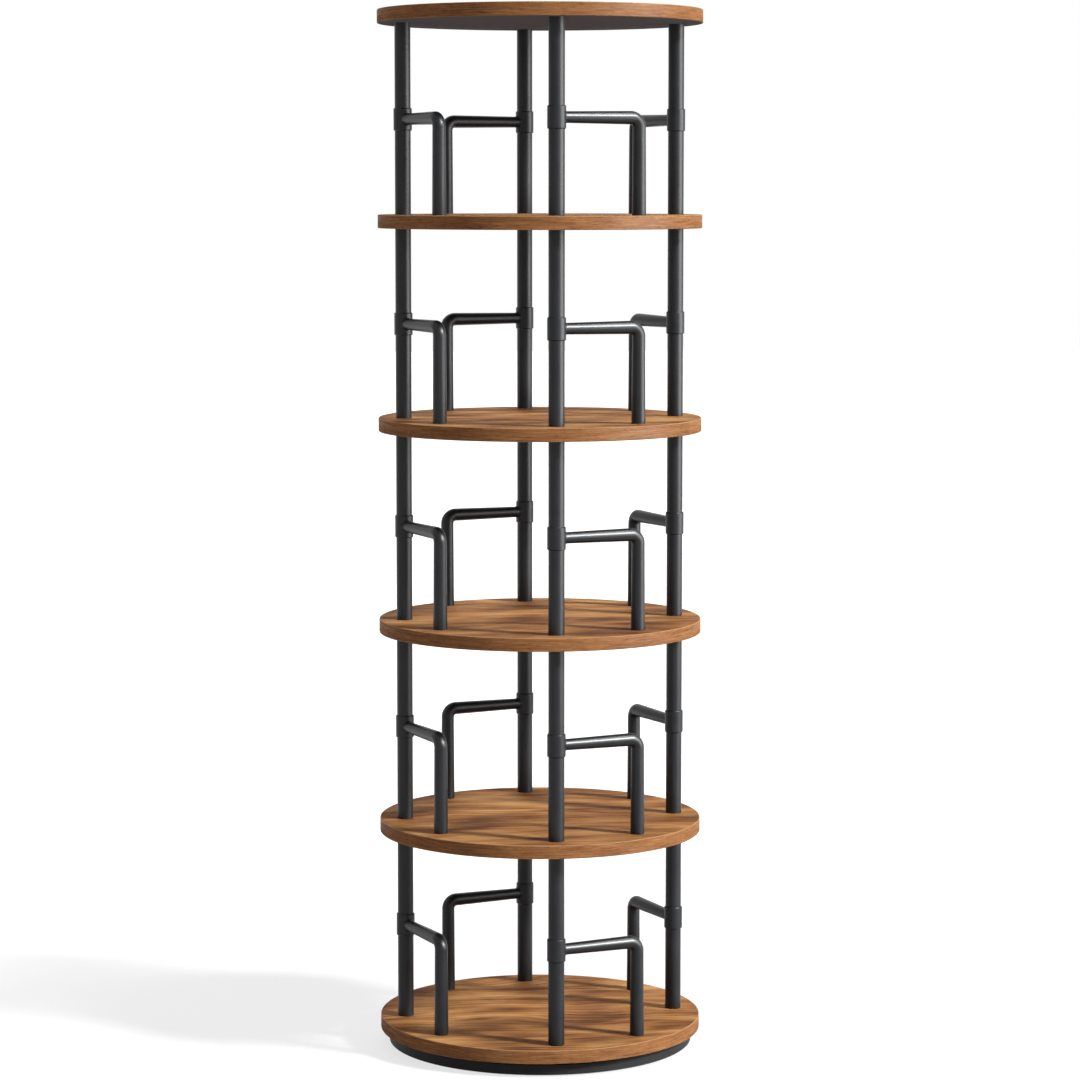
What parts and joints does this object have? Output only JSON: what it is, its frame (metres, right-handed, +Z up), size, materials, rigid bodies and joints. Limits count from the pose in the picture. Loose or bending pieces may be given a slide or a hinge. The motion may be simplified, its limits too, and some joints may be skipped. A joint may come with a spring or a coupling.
{
  "type": "revolving bookcase",
  "caption": "Round revolving bookcase: wood-grain boards on black steel posts with bent-tube bookends, turning on a ball bearing over a flat plinth.",
  "frame": {"origin": "on the floor, on the axis that the bookcase turns about", "axes": "+Z up along the axis of rotation; the front post stands at -Y and the others at +X, +Y and -X"},
  "size_m": [0.45, 0.45, 1.4454],
  "materials": {
    "wood_board": "satin wood-grain laminate, rustic walnut brown, with a matching edge band",
    "black_steel": "satin black powder coat, fine texture",
    "black_board": "fibreboard with a matte charcoal coating",
    "rubber": "matte black rubber",
    "bearing_alloy": "turned aluminium",
    "zinc_steel": "bright zinc plating",
    "cage_nylon": "natural nylon"
  },
  "bodies": {
    "base": {"base_plinth": "black_board", "base_pads": "rubber", "bearing_fixed_ring": "bearing_alloy", "bearing_plinth_screws": "zinc_steel"},
    "carousel": {"bearing_turning_ring": "bearing_alloy", "bearing_shelf_screws": "zinc_steel", "post_studs": "zinc_steel", "post_bolts": "zinc_steel", "top_studs": "zinc_steel", "top_inserts": "zinc_steel", "bookend_screws": "zinc_steel", "shelf_1": "wood_board", "shelf_2": "wood_board", "shelf_3": "wood_board", "shelf_4": "wood_board", "shelf_5": "wood_board", "top_board": "wood_board", "tier_1_post_front": "black_steel", "tier_1_post_right": "black_steel", "tier_1_post_back": "black_steel", "tier_1_post_left": "black_steel", "tier_2_post_front": "black_steel", "tier_2_post_right": "black_steel", "tier_2_post_back": "black_steel", "tier_2_post_left": "black_steel", "tier_3_post_front": "black_steel", "tier_3_post_right": "black_steel", "tier_3_post_back": "black_steel", "tier_3_post_left": "black_steel", "tier_4_post_front": "black_steel", "tier_4_post_right": "black_steel", "tier_4_post_back": "black_steel", "tier_4_post_left": "black_steel", "tier_5_post_front": "black_steel", "tier_5_post_right": "black_steel", "tier_5_post_back": "black_steel", "tier_5_post_left": "black_steel", "tier_1_bookend_front": "black_steel", "tier_1_bookend_right": "black_steel", "tier_1_bookend_back": "black_steel", "tier_1_bookend_left": "black_steel", "tier_2_bookend_front": "black_steel", "tier_2_bookend_right": "black_steel", "tier_2_bookend_back": "black_steel", "tier_2_bookend_left": "black_steel", "tier_3_bookend_front": "black_steel", "tier_3_bookend_right": "black_steel", "tier_3_bookend_back": "black_steel", "tier_3_bookend_left": "black_steel", "tier_4_bookend_front": "black_steel", "tier_4_bookend_right": "black_steel", "tier_4_bookend_back": "black_steel", "tier_4_bookend_left": "black_steel", "tier_5_bookend_front": "black_steel", "tier_5_bookend_right": "black_steel", "tier_5_bookend_back": "black_steel", "tier_5_bookend_left": "black_steel"},
    "ball_cage": {"bearing_cage": "cage_nylon", "bearing_balls": "zinc_steel"}
  },
  "joints": [
    {"name": "carousel_turn", "type": "hinge", "parent": "base", "child": "carousel", "pos_m": [0, 0, 0.0158], "axis": [0, 0, 1], "continuous": true},
    {"name": "cage_turn", "type": "hinge", "parent": "base", "child": "ball_cage", "pos_m": [0, 0, 0.0158], "axis": [0, 0, 1], "continuous": true}
  ],
  "couplings": [
    {"joint": "cage_turn", "follows": "carousel_turn", "ratio": 0.5}
  ]
}
